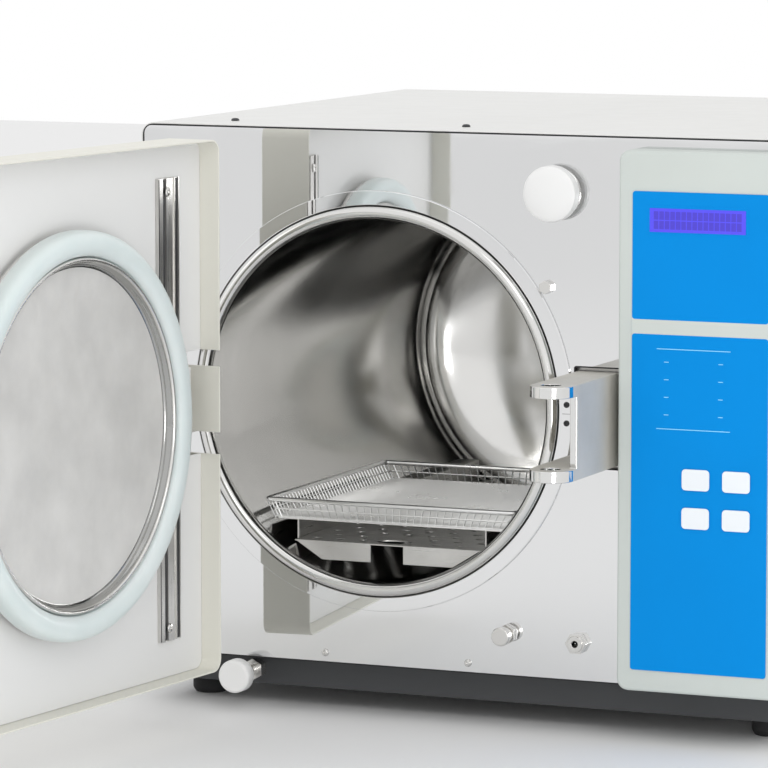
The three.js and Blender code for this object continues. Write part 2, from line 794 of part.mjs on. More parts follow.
// The bar that carries the lid, from the hinge knuckle to the lock head.
function crossbar() {
  const knuckleR = 16;
  const { front, middle, back, bottom, top } = BAR;
  const plan = outline([
    [HINGE.x, front],
    [-60, middle],
    [60, middle],
    [LOCK.x, front],
    [LOCK.x, back],
    [HINGE.x, back],
  ]);
  const knuckle = (ear, at) =>
    cylinderZ(knuckleR, ear.bottom + EAR_THICK + GAP, ear.top - EAR_THICK - GAP, at.x, at.y, 28);
  return cut(
    join(alongZ(plan, bottom, top), knuckle(HINGE_EAR, HINGE), knuckle(LATCH_EAR, LOCK)),
    cylinderZ(PIN_R + GAP, -80, 80, HINGE.x, HINGE.y, 24),
    cylinderZ(BOLT_R + GAP, -80, 80, LOCK.x, LOCK.y, 24),
    cylinderY(HANDLE_SHAFT_R + GAP, -180, -120, LOCK.x, LOCK.z, 20),
  );
}

function lidStud() {
  return cylinderY(LID_STUD_R, BAR.back + GAP, LID.back - GAP, 0, 0, 32);
}

const HANDLE_SHAFT_R = 6;

function closingHandle() {
  const { x, z } = LOCK;
  const shaft = cylinderY(HANDLE_SHAFT_R, -160, -124, x, z, 20);
  const hub = cylinderY(20, -172, -156, x, z, 32);
  const grip = roundedRect(x - 12, x + 12, z - 130, z, 11);
  return join(shaft, hub, alongY(grip, -169, -159, 4));
}

const RAIL = { left: -222, right: -180.5, bottom: -239, top: 246 };

// The slotted rail on the inner panel beside the hinge.
function doorRail() {
  const { left, right, bottom, top } = RAIL;
  const back = DOOR_PANEL_Y + GAP;
  return join(
    box(left, right, back, back + 1.2, bottom, top),
    box(right - 27, right, back, back + 4, bottom, top),
    box(left, left + 9, back, back + 3, bottom, top),
  );
}

function railScrew(z) {
  const head = turnedZ(screwHead(5, 2.2), 0, 0, 16).rotateX(-Math.PI / 2);
  return head.translate(RAIL.right - 17, DOOR_PANEL_Y + 4 + 2 * GAP, z);
}

function addDoor(parent) {
  const swing = new THREE.Group();
  swing.position.set(HINGE.x, HINGE.y, 0);
  swing.rotation.z = THREE.MathUtils.degToRad(-DOOR_OPEN_DEG);
  const door = new THREE.Group();
  door.position.set(-HINGE.x, -HINGE.y, 0);
  swing.add(door);
  parent.add(swing);
  place(door, "door_cover", doorCover(), DOOR_PAINT);
  place(door, "door_inner_panel", doorInnerPanel(), DOOR_PAINT);
  place(door, "pressure_lid", pressureLid(), BRUSHED_STEEL);
  place(door, "door_gasket", doorGasket(), SILICONE);
  place(door, "crossbar", crossbar(), DOOR_PAINT);
  place(door, "lid_stud", lidStud(), BRUSHED_STEEL);
  place(door, "door_rail", doorRail(), BRUSHED_STEEL);
  place(door, "rail_screw_upper", railScrew(RAIL.top - 14), BRUSHED_STEEL);
  place(door, "rail_screw_lower", railScrew(RAIL.bottom + 14), BRUSHED_STEEL);
  const upper = cylinderZ(BOLT_R, 3, 3 + BOLT_LENGTH, LOCK.x, LOCK.y, 24);
  const lower = cylinderZ(BOLT_R, -14 - BOLT_LENGTH, -14, LOCK.x, LOCK.y, 24);
  place(door, "lock_bolt_upper", upper, BRUSHED_STEEL);
  place(door, "lock_bolt_lower", lower, BRUSHED_STEEL);
  place(door, "closing_handle", closingHandle(), BLACK_PLASTIC);
}

// ---------------------------------------------------------------- assembly

const autoclave = new THREE.Group();
addCabinet(autoclave);
addChamber(autoclave);
addBrackets(autoclave);
addFrontFittings(autoclave);
addControls(autoclave);
addServiceParts(autoclave);
addLoadCarriers(autoclave);
addDoor(autoclave);

// Stand the part on the origin, centred over it.
const bounds = new THREE.Box3().setFromObject(autoclave, true);
const middle = bounds.getCenter(new THREE.Vector3());
autoclave.position.set(-middle.x, -middle.y, -bounds.min.z);
autoclave.updateMatrixWorld(true);

export default autoclave;
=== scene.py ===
"""Benchtop autoclave: the visual model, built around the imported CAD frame.

Lengths are written in millimetres about the centre of the chamber mouth, on the plane
of the front panels, with +Y into the chamber. at() turns them into the frame's metres.
Door pieces are drawn with the door closed and then swung open with DOOR_SPACE.
"""
import json
import math

import bmesh
import bpy
from mathutils import Matrix, Vector

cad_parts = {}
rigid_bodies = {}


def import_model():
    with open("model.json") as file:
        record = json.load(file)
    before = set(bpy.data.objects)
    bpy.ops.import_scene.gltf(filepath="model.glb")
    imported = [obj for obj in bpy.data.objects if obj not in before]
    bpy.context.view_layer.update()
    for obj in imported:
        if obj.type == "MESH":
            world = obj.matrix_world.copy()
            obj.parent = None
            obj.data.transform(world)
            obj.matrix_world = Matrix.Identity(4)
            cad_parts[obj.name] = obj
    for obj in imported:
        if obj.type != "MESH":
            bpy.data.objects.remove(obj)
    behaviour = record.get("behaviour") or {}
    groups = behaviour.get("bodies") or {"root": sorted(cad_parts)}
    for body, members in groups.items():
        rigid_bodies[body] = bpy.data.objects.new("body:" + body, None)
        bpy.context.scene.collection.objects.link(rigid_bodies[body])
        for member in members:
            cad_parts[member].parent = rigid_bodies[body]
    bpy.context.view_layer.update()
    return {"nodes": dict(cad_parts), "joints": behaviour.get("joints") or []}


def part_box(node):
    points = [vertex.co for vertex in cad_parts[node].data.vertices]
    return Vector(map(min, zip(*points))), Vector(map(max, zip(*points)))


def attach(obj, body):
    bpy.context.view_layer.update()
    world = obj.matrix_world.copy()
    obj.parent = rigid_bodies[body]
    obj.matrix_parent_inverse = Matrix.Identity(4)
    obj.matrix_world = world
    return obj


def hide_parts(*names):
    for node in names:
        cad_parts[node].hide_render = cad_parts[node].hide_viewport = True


for leftover in list(bpy.data.objects):
    bpy.data.objects.remove(leftover)

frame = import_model()
NODES = frame["nodes"]

MM = 0.001
RING_LOW, RING_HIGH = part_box("chamber_front_ring")
MOUTH = Vector(((RING_LOW.x + RING_HIGH.x) / 2, RING_HIGH.y, (RING_LOW.z + RING_HIGH.z) / 2))
RING_OUTER_R = (RING_HIGH.x - RING_LOW.x) / 2 / MM

DOOR_HINGE = next(joint for joint in frame["joints"] if joint["name"] == "door_hinge")
HINGE = Vector(DOOR_HINGE["pos_m"])
DOOR_OPEN = math.radians(DOOR_HINGE["range_deg"][0])
DOOR_SPACE = Matrix.Translation(HINGE) @ Matrix.Rotation(DOOR_OPEN, 4, "Z") @ Matrix.Translation(-HINGE)

# Camera: the photograph's viewing angle.
CAMERA_AZIMUTH = 23.25
CAMERA_ELEVATION = 6.68
CAMERA_DISTANCE = 5.102
CAMERA_LENS = 225.25
CAMERA_AIM = (9.6, 0.0, 19.5)

# Chamber
BORE_R = 197.0
LIP_INNER_R = 195.0
LIP_OUTER_R = 209.0
LIP_FRONT = -8.7
CHAMBER_DEPTH = 590.0
DOME_DEPTH = 50.0
WALL = 4.0

# Basket and tray
BASKET_PITCH = 8.0
BASKET_WIRE_R = 0.85
BASKET_RIM_R = 2.6
TRAY_HOLE_R = 5.5
TRAY_HOLE_PITCH = 28.0


def at(x, y, z):
    return MOUTH + Vector((x, y, z)) * MM


def mouth_coordinates(point):
    """The inverse of at(): a frame position in millimetres about the mouth."""
    return (Vector(point) - MOUTH) / MM


# ------------------------------------------------------------------ mesh helpers


def piece(name, verts, faces, material, body, slot, replaces=(), space=None, sharp=35.0):
    """Makes an object from frame-space vertices, with smooth shading and sharp creases."""
    mesh = bpy.data.meshes.new(name)
    points = [space @ Vector(v) for v in verts] if space else verts
    mesh.from_pydata([tuple(p) for p in points], [], faces)
    mesh.update()
    shade(mesh, sharp)
    mesh.materials.append(material)
    obj = bpy.data.objects.new(name, mesh)
    bpy.context.scene.collection.objects.link(obj)
    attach(obj, body)
    if replaces:
        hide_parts(*replaces)
    return obj


def shade(mesh, sharp=35.0):
    bm = bmesh.new()
    bm.from_mesh(mesh)
    bmesh.ops.recalc_face_normals(bm, faces=bm.faces)
    bm.to_mesh(mesh)
    bm.free()
    mesh.shade_smooth()
    mesh.set_sharp_from_angle(angle=math.radians(sharp))


class Build:
    """Collects vertices and faces of one piece made from several simple solids."""

    def __init__(self):
        self.verts = []
        self.faces = []

    def add(self, verts, faces):
        start = len(self.verts)
        self.verts.extend(verts)
        self.faces.extend([tuple(start + i for i in face) for face in faces])

    def rings(self, rings, closed_path=False, caps=True):
        """Skins a list of equally long vertex rings."""
        count = len(rings[0])
        verts = [v for ring in rings for v in ring]
        faces = []
        spans = len(rings) if closed_path else len(rings) - 1
        for i in range(spans):
            j = (i + 1) % len(rings)
            for k in range(count):
                m = (k + 1) % count
                faces.append((i * count + k, i * count + m, j * count + m, j * count + k))
        if caps and not closed_path:
            faces.append(tuple(range(count))[::-1])
            faces.append(tuple((len(rings) - 1) * count + k for k in range(count)))
        self.add(verts, faces)

    def tube(self, path, radius, sides=8, closed=False):
        """Sweeps a circle along frame-space points."""
        rings = []
        count = len(path)
        for i, point in enumerate(path):
            before = path[(i - 1) % count] if closed or i > 0 else path[i]
            after = path[(i + 1) % count] if closed or i < count - 1 else path[i]
            along = (after - before).normalized()
            upright = Vector((0, 0, 1)) if abs(along.z) < 0.9 else Vector((0, 1, 0))
            side = along.cross(upright).normalized()
            other = along.cross(side)
            rings.append(
                [
                    point + radius * (side * math.cos(a) + other * math.sin(a))
                    for a in (2 * math.pi * k / sides for k in range(sides))
                ]
            )
        self.rings(rings, closed_path=closed)

    def slab(self, outline, y0, y1, plane="XZ"):
        """Extrudes an outline of (x, z) pairs along Y, in millimetres about the mouth."""
        rings = [[at(x, y, z) for x, z in outline] for y in (y0, y1)]
        self.rings(rings)

    def finish(self, name, material, body, slot, **options):
        return piece(name, self.verts, self.faces, material, body, slot, **options)


def revolve(name, profile, material, body, slot, x=0.0, z=0.0, sides=128, **options):
    """Turns (radius, y) pairs about an axis along Y. The profile ends on the axis or closes."""
    closed = profile[0][0] > 1e-6
    build = Build()
    rows = []
    for radius, y in profile:
        if radius < 1e-6:
            rows.append([at(x, y, z)])
        else:
            angles = (2 * math.pi * k / sides for k in range(sides))
            rows.append([at(x + radius * math.cos(a), y, z + radius * math.sin(a)) for a in angles])
    starts = []
    for row in rows:
        starts.append(len(build.verts))
        build.verts.extend(row)
    pairs = list(zip(range(len(rows) - 1), range(1, len(rows))))
    if closed:
        pairs.append((len(rows) - 1, 0))
    for i, j in pairs:
        for k in range(sides):
            m = (k + 1) % sides
            a = (starts[i] + k, starts[i] + m) if len(rows[i]) > 1 else (starts[i],)
            b = (starts[j] + m, starts[j] + k) if len(rows[j]) > 1 else (starts[j],)
            build.faces.append(a + b)
    return build.finish(name, material, body, slot, **options)


def edge_band(build, outer, inner, back, front, depth=None):
    """A closed band between two like outlines, from back to front along Y."""
    rings = ((outer, back), (outer, front), (inner, front), (inner, back if depth is None else depth))
    build.rings([[at(x, y, z) for x, z in line] for line, y in rings], closed_path=True)


def arc(centre, radius, start_deg, end_deg, steps):
    """Points on an arc in a flat plane, as (u, v) pairs."""
    cu, cv = centre
    angles = [math.radians(start_deg + (end_deg - start_deg) * i / steps) for i in range(steps + 1)]
    return [(cu + radius * math.cos(a), cv + radius * math.sin(a)) for a in angles]


def rounded_rect(x0, x1, z0, z1, radius, steps=5):
    return (
        arc((x1 - radius, z0 + radius), radius, -90, 0, steps)
        + arc((x1 - radius, z1 - radius), radius, 0, 90, steps)
        + arc((x0 + radius, z1 - radius), radius, 90, 180, steps)
        + arc((x0 + radius, z0 + radius), radius, 180, 270, steps)
    )


# ------------------------------------------------------------------ materials


def shader_of(name, color, roughness, metallic=0.0, **sockets):
    material = bpy.data.materials.new(name)
    material.use_nodes = True
    shader = material.node_tree.nodes["Principled BSDF"]
    shader.inputs["Base Color"].default_value = (*color, 1.0)
    shader.inputs["Roughness"].default_value = roughness
    shader.inputs["Metallic"].default_value = metallic
    for socket, value in sockets.items():
        shader.inputs[socket.replace("_", " ")].default_value = value
    return material, shader


def noise(material, scale, stretch=(1, 1, 1), detail=4.0, roughness=0.5, turn=(0, 0, 0)):
    """A noise texture in the object's own coordinates; stretch below 1 draws it out."""
    nodes, links = material.node_tree.nodes, material.node_tree.links
    coordinates = nodes.new("ShaderNodeTexCoord")
    mapping = nodes.new("ShaderNodeMapping")
    mapping.inputs["Scale"].default_value = stretch
    mapping.inputs["Rotation"].default_value = turn
    texture = nodes.new("ShaderNodeTexNoise")
    texture.inputs["Scale"].default_value = scale
    texture.inputs["Detail"].default_value = detail
    texture.inputs["Roughness"].default_value = roughness
    links.new(coordinates.outputs["Object"], mapping.inputs["Vector"])
    links.new(mapping.outputs["Vector"], texture.inputs["Vector"])
    return texture.outputs["Fac"]


def vary_color(material, shader, source, dark, light):
    nodes, links = material.node_tree.nodes, material.node_tree.links
    ramp = nodes.new("ShaderNodeValToRGB")
    ramp.color_ramp.elements[0].position = 0.3
    ramp.color_ramp.elements[0].color = (*dark, 1.0)
    ramp.color_ramp.elements[1].position = 0.7
    ramp.color_ramp.elements[1].color = (*light, 1.0)
    links.new(source, ramp.inputs["Fac"])
    links.new(ramp.outputs["Color"], shader.inputs["Base Color"])


def vary_roughness(material, shader, source, low, high):
    nodes, links = material.node_tree.nodes, material.node_tree.links
    span = nodes.new("ShaderNodeMapRange")
    span.inputs["From Min"].default_value = 0.3
    span.inputs["From Max"].default_value = 0.7
    span.inputs["To Min"].default_value = low
    span.inputs["To Max"].default_value = high
    links.new(source, span.inputs["Value"])
    links.new(span.outputs["Result"], shader.inputs["Roughness"])


def bump(material, shader, source, strength, distance):
    nodes, links = material.node_tree.nodes, material.node_tree.links
    node = nodes.new("ShaderNodeBump")
    node.inputs["Strength"].default_value = strength
    node.inputs["Distance"].default_value = distance
    links.new(source, node.inputs["Height"])
    current = shader.inputs["Normal"]
    if current.is_linked:
        links.new(current.links[0].from_socket, node.inputs["Normal"])
    links.new(node.outputs["Normal"], current)


def powder_coat(name, color, roughness=0.42):
    """Baked enamel: an orange-peel skin, and a very slight drift of tone."""
    material, shader = shader_of(name, color, roughness, Specular_IOR_Level=0.45)
    drift = noise(material, 2.5, detail=2.0)
    dark = tuple(c * 0.97 for c in color)
    light = tuple(min(1, c * 1.01) for c in color)
    vary_color(material, shader, drift, dark, light)
    peel = noise(material, 900.0, detail=2.0)
    bump(material, shader, peel, 0.12, 0.0002)
    vary_roughness(material, shader, noise(material, 30.0), roughness - 0.04, roughness + 0.05)
    return material


def mirror_sheet(name):
    """Mirror-polished stainless sheet: long soft waves and faint wipe marks."""
    material, shader = shader_of(name, (0.79, 0.795, 0.80), 0.03, 1.0)
    bump(material, shader, noise(material, 5.0, detail=1.0), 0.04, 0.003)
    vary_roughness(material, shader, noise(material, 14.0, (1, 1, 3)), 0.015, 0.045)
    vary_color(material, shader, noise(material, 3.0), (0.78, 0.785, 0.79), (0.81, 0.812, 0.815))
    return material


def polished(name, color=(0.80, 0.80, 0.79), low=0.07, high=0.16, stretch=(1, 1, 1)):
    """Turned and polished steel, with a fine lay along its length."""
    material, shader = shader_of(name, color, low, 1.0)
    lay = noise(material, 260.0, stretch, detail=3.0)
    bump(material, shader, lay, 0.06, 0.0003)
    vary_roughness(material, shader, noise(material, 18.0), low, high)
    vary_color(material, shader, noise(material, 6.0), tuple(c * 0.93 for c in color), color)
    return material


def brushed(name, color=(0.66, 0.65, 0.63), stretch=(1, 0.02, 1), low=0.24, high=0.42, metallic=1.0):
    """Brushed stainless: scratches drawn out along one direction, plus handling marks."""
    material, shader = shader_of(name, color, low, metallic, Anisotropic=0.4)
    scratches = noise(material, 700.0, stretch, detail=3.0, roughness=0.6)
    bump(material, shader, scratches, 0.25, 0.0002)
    vary_roughness(material, shader, scratches, low, high)
    vary_color(material, shader, noise(material, 20.0), tuple(c * 0.86 for c in color), color)
    return material


def spangled(name, color):
    material, shader = shader_of(name, color, 0.45, 0.9)
    nodes, links = material.node_tree.nodes, material.node_tree.links
    cells = nodes.new("ShaderNodeTexVoronoi")
    cells.inputs["Scale"].default_value = 90.0
    coordinates = nodes.new("ShaderNodeTexCoord")
    links.new(coordinates.outputs["Object"], cells.inputs["Vector"])
    vary_color(material, shader, cells.outputs["Distance"], tuple(c * 0.75 for c in color), color)
    vary_roughness(material, shader, noise(material, 60.0), 0.38, 0.55)
    return material


def moulded(name, color, roughness, grain=600.0, depth=0.0002, **sockets):
    material, shader = shader_of(name, color, roughness, **sockets)
    bump(material, shader, noise(material, grain, detail=2.0), 0.15, depth)
    low = max(0.05, roughness - 0.05)
    vary_roughness(material, shader, noise(material, 25.0), low, roughness + 0.06)
    vary_color(material, shader, noise(material, 8.0), tuple(c * 0.96 for c in color), color)
    return material


def silicone(name):
    """Milky translucent silicone."""
    material, shader = shader_of(
        name,
        (0.64, 0.70, 0.695),
        0.28,
        Subsurface_Weight=0.55,
        Subsurface_Scale=0.02,
        Specular_IOR_Level=0.4,
    )
    shader.inputs["Subsurface Radius"].default_value = (0.9, 1.0, 1.0)
    vary_color(material, shader, noise(material, 12.0), (0.60, 0.67, 0.665), (0.68, 0.735, 0.73))
    bump(material, shader, noise(material, 120.0), 0.08, 0.0005)
    return material


def backlit(name, color, strength):
    material, shader = shader_of(name, color, 0.2)
    shader.inputs["Emission Color"].default_value = (*color, 1.0)
    shader.inputs["Emission Strength"].default_value = strength
    vary_roughness(material, shader, noise(material, 200.0), 0.15, 0.25)
    return material


def wool(name):
    material, shader = shader_of(name, (0.62, 0.58, 0.47), 0.95)
    tufts = noise(material, 120.0, detail=8.0)
    vary_color(material, shader, tufts, (0.50, 0.46, 0.36), (0.70, 0.66, 0.55))
    bump(material, shader, noise(material, 200.0, detail=8.0), 0.8, 0.003)
    return material


PAINT = powder_coat("cabinet_paint", (0.72, 0.72, 0.705))
DOOR_PAINT = powder_coat("door_paint", (0.73, 0.72, 0.65))
LINER_PAINT = powder_coat("door_liner_paint", (0.745, 0.745, 0.735))
HOUSING = moulded("housing_grey", (0.56, 0.60, 0.575), 0.45, Specular_IOR_Level=0.35)
MIRROR = mirror_sheet("mirror_sheet")
CHAMBER = polished("polished_chamber", (0.74, 0.735, 0.72), 0.08, 0.15, (0.15, 1, 0.15))
# Polished steel with a 0.42 base colour, darker than the chamber's: painted shade on the lid's recessed
# wall between its lip and its face.
SHADED_RECESS = polished("polished_recess_painted_shade", (0.42, 0.42, 0.41), 0.10, 0.18)
LID_FACE = brushed("satin_lid_face", (0.70, 0.69, 0.665), (1, 0.05, 0.05), 0.45, 0.55, 0.35)
BRACKET = brushed("satin_bracket", (0.60, 0.58, 0.53), low=0.45, high=0.55, metallic=0.12)
EAR_END = polished("polished_ear_end", (0.80, 0.80, 0.79), 0.05, 0.09)
BRUSHED_Y = brushed("brushed_along_y")
BRUSHED_X = brushed("brushed_along_x", stretch=(0.02, 1, 1))
BRUSHED_Z = brushed("brushed_along_z", stretch=(1, 1, 0.02))
WIRE = polished("electropolished_wire", (0.90, 0.90, 0.89), 0.26, 0.34)
TURNED = polished("turned_steel", (0.72, 0.71, 0.69), 0.16, 0.28)
GALVANISED = spangled("galvanised_sheet", (0.55, 0.57, 0.58))
DARK_COAT = powder_coat("dark_coat", (0.045, 0.047, 0.05), 0.5)
WHITE_PLASTIC = moulded("white_plastic", (0.78, 0.78, 0.775), 0.35, Specular_IOR_Level=0.3)
BLACK_PLASTIC = moulded("black_plastic", (0.018, 0.018, 0.02), 0.45)
RUBBER = moulded("black_rubber", (0.014, 0.014, 0.015), 0.8, 300.0, 0.0005)
SILICONE = silicone("door_silicone")
BLUE_FILM = moulded("blue_film", (0.0, 0.245, 0.68), 0.5, 1500.0, 0.0001, Specular_IOR_Level=0.08)
GREY_FILM = moulded("grey_film", (0.56, 0.60, 0.575), 0.45, 1500.0, 0.0001, Specular_IOR_Level=0.35)
KEY_FILM = moulded("key_film", (0.80, 0.84, 0.88), 0.35, 1500.0, 0.0001)
CYAN_PRINT = moulded("cyan_print", (0.30, 0.72, 0.93), 0.35, 1500.0, 0.0001)
LCD_GLOW = backlit("display_backlight", (0.06, 0.05, 0.60), 0.45)
LCD_CELL = backlit("display_cell", (0.05, 0.035, 0.45), 0.3)
WOOL = wool("jacket_wool")
BOARD = moulded("circuit_board", (0.02, 0.16, 0.05), 0.4)
BRASS = polished("turned_brass", (0.72, 0.52, 0.22), 0.2, 0.32)


# ------------------------------------------------------------------ carried-over CAD nodes


def refine(node, material, bevel_mm=0.0, segments=2, angle=28.0):
    """Gives a CAD node its finish and, where asked, the small radii of its edges."""
    obj = NODES[node]
    mesh = obj.data
    mesh.materials.clear()
    mesh.materials.append(material)
    if "custom_normal" in mesh.attributes:
        mesh.attributes.remove(mesh.attributes["custom_normal"])
    mesh.shade_smooth()
    weld = obj.modifiers.new("weld", "WELD")
    weld.merge_threshold = 2e-6
    flat = obj.modifiers.new("flat_faces", "DECIMATE")
    flat.decimate_type = "DISSOLVE"
    flat.angle_limit = math.radians(0.5)
    radius = obj.modifiers.new("edge_radius", "BEVEL")
    radius.width = max(bevel_mm, 0.05) * MM
    radius.segments = segments if bevel_mm else 1
    radius.limit_method = "ANGLE"
    radius.angle_limit = math.radians(angle)
    radius.harden_normals = True
    return obj


def finish_cad_nodes():
    plain = {
        "cabinet_cover": (PAINT, 0.5),
        "base_tray": (DARK_COAT, 0.6),
        "rear_panel": (GALVANISED, 0.2),
        "front_panel_upper": (MIRROR, 0.25),
        "front_panel_lower": (MIRROR, 0.25),
        "insulation_jacket": (WOOL, 2.0),
        "door_yoke": (BRUSHED_X, 0.8),
        "chamber_saddle_front": (GALVANISED, 0.5),
        "chamber_saddle_rear": (GALVANISED, 0.5),
        "side_rack_left": (BRUSHED_Y, 0.3),
        "side_rack_right": (BRUSHED_Y, 0.3),
        "hinge_bracket": (BRUSHED_Y, 0.8),
        "hinge_pin": (TURNED, 0.6),
        "latch_bracket": (BRACKET, 1.6),
        "ring_clamp_bolt": (TURNED, 0.6),
        "validation_port": (TURNED, 0.25),
        "validation_cap": (TURNED, 0.5),
        "outlet_fitting": (TURNED, 0.6),
        "drain_valve_stem": (TURNED, 0.4),
        "control_housing": (HOUSING, 0.0),
        "membrane_panel": (BLUE_FILM, 0.15),
        "display_window": (LCD_GLOW, 0.1),
        "control_board": (BOARD, 0.2),
        "power_module": (GALVANISED, 1.5),
        "vacuum_pump": (DARK_COAT, 2.0),
        "safety_valve": (BRASS, 0.6),
        "power_inlet": (BLACK_PLASTIC, 0.6),
        "main_switch": (BLACK_PLASTIC, 0.6),
        "door_cover": (DOOR_PAINT, 0.7),
        "door_inner_panel": (LINER_PAINT, 0.3),
        "crossbar": (DOOR_PAINT, 0.8),
        "lid_stud": (BRUSHED_Y, 1.0),
        "closing_handle": (BLACK_PLASTIC, 2.0),
        "lock_bolt_upper": (TURNED, 1.0),
        "lock_bolt_lower": (TURNED, 1.0),
        "cover_screw_left": (DARK_COAT, 0.2),
        "cover_screw_right": (DARK_COAT, 0.2),
        "panel_screw_left": (TURNED, 0.2),
        "panel_screw_right": (TURNED, 0.2),
        "rail_screw_upper": (TURNED, 0.2),
        "rail_screw_lower": (TURNED, 0.2),
    }
    for node, (material, bevel_mm) in plain.items():
        refine(node, material, bevel_mm)
    bracket = NODES["latch_bracket"]
    bracket.data.materials.append(EAR_END)
    for face in bracket.data.polygons:
        if mouth_coordinates(face.center).y < -115 and abs(face.normal.z) < 0.3:
            face.material_index = 1
    for name in ("start", "stop", "up", "down"):
        refine(f"key_{name}", KEY_FILM, 0.4, 3)
    for side in ("front_left", "front_right", "rear_left", "rear_right"):
        refine(f"foot_{side}", RUBBER, 1.0)


# ------------------------------------------------------------------ chamber


def make_chamber():
    crest_r = (LIP_INNER_R + LIP_OUTER_R) / 2
    half = (LIP_OUTER_R - LIP_INNER_R) / 2

    def dome(radius, apex):
        quarter = [math.radians(90 * i / 20) for i in range(21)]
        rise = apex - CHAMBER_DEPTH
        return [(radius * math.sin(a), CHAMBER_DEPTH + rise * math.cos(a)) for a in quarter]

    turn = [math.pi * (1 - i / 24) for i in range(25)]
    lip = [(crest_r + half * math.cos(a), LIP_FRONT * math.sin(a)) for a in turn]
    outer_r = BORE_R + WALL
    profile = (
        dome(BORE_R, CHAMBER_DEPTH + DOME_DEPTH)
        + [(BORE_R, 300.0), (BORE_R, 60.0), (BORE_R, 10.0), (BORE_R - 0.6, 5.0)]
        + lip
        + [(outer_r + 4, 3.0), (outer_r, 7.0)]
        + dome(outer_r, CHAMBER_DEPTH + DOME_DEPTH + WALL)[::-1]
    )
    revolve(
        "chamber", profile, CHAMBER, "cabinet", "polished_steel", sides=256, replaces=["chamber_shell"]
    )


def make_mouth_ring():
    inner, outer = 210.0, RING_OUTER_R
    front, back, edge = -3.2, 0.0, 0.5
    profile = [
        (inner, back),
        (inner, front + edge),
        (inner + edge, front),
        (outer - edge, front),
        (outer, front + edge),
        (outer, back),
    ]
    revolve(
        "mouth_ring", profile, MIRROR, "cabinet", "mirror_steel", sides=256, replaces=["chamber_front_ring"]
    )


def make_heating_element():
    """A rod bent into hairpins on the chamber floor, with two spacer straps."""
    low, high = (mouth_coordinates(c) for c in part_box("heating_element"))
    rod_r = (high.z - low.z) / 2
    z = (high.z + low.z) / 2
    pitch = (high.x - low.x - 2 * rod_r) / 3
    front = low.y + rod_r + pitch / 2
    rear_gap = 45
    back = high.y - rear_gap
    path = [(-1.5 * pitch, high.y)]
    for bend in (1, 2, 3):
        at_front = bend != 2
        centre = ((bend - 2) * pitch, front if at_front else back)
        path += arc(centre, pitch / 2, 180, 360 if at_front else 0, 12)
    path.append((1.5 * pitch, high.y))
    build = Build()
    build.tube([at(x, y, z) for x, y in path], rod_r * MM, 14)
    strap_half = 1.5 * pitch + 8
    strap = rounded_rect(-strap_half, strap_half, z - rod_r - 1.6, z - rod_r - 0.1, 0.6, 2)
    for y in (front + 60, back - 60):
        build.slab(strap, y, y + 12)
    build.finish("heating_rod", TURNED, "cabinet", "polished_steel", replaces=["heating_element"])


# ------------------------------------------------------------------ basket and tray


def make_basket():
    """Square welded mesh with a heavy rim wire, a lower hoop and a folded-up wall."""
    low, high = (mouth_coordinates(c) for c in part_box("wire_basket"))
    middle, half = (low.x + high.x) / 2, (high.x - low.x) / 2
    flare = 12
    floor_half = half - flare
    front, back = low.y, high.y
    rim, floor = high.z - BASKET_RIM_R, low.z + BASKET_WIRE_R
    build = Build()
    wire = BASKET_WIRE_R * MM
    inset = BASKET_RIM_R

    def half_at(z):
        return floor_half + (half - floor_half) * (z - low.z) / (high.z - low.z) - inset

    def rod(a, b, radius=wire, sides=6):
        build.tube([at(middle + x, y, z) for x, y, z in (a, b)], radius, sides)

    columns = round(2 * half_at(floor) / BASKET_PITCH)
    rows = round((back - front - 2 * inset) / BASKET_PITCH)
    for i in range(columns + 1):
        x = -half_at(floor) + 2 * half_at(floor) * i / columns
        rod((x, front + inset, floor), (x, back - inset, floor))
        for y in (front + inset, back - inset):
            rod((x, y, floor), (x * half_at(rim) / half_at(floor), y, rim))
    for j in range(rows + 1):
        y = front + inset + (back - front - 2 * inset) * j / rows
        rod((-half_at(floor), y, floor + 1.6), (half_at(floor), y, floor + 1.6))
        for side in (-1, 1):
            rod((side * half_at(floor), y, floor), (side * half_at(rim), y, rim))
    for z, radius in ((floor, wire), ((floor + rim) / 2, wire), (rim, BASKET_RIM_R * MM)):
        x = half_at(z)
        loop = rounded_rect(-x, x, front + inset, back - inset, 6.0)
        build.tube([at(middle + u, v, z) for u, v in loop], radius, 10 if z == rim else 6, closed=True)
    build.finish("basket_mesh", WIRE, "basket", "wire_steel", replaces=["wire_basket"])


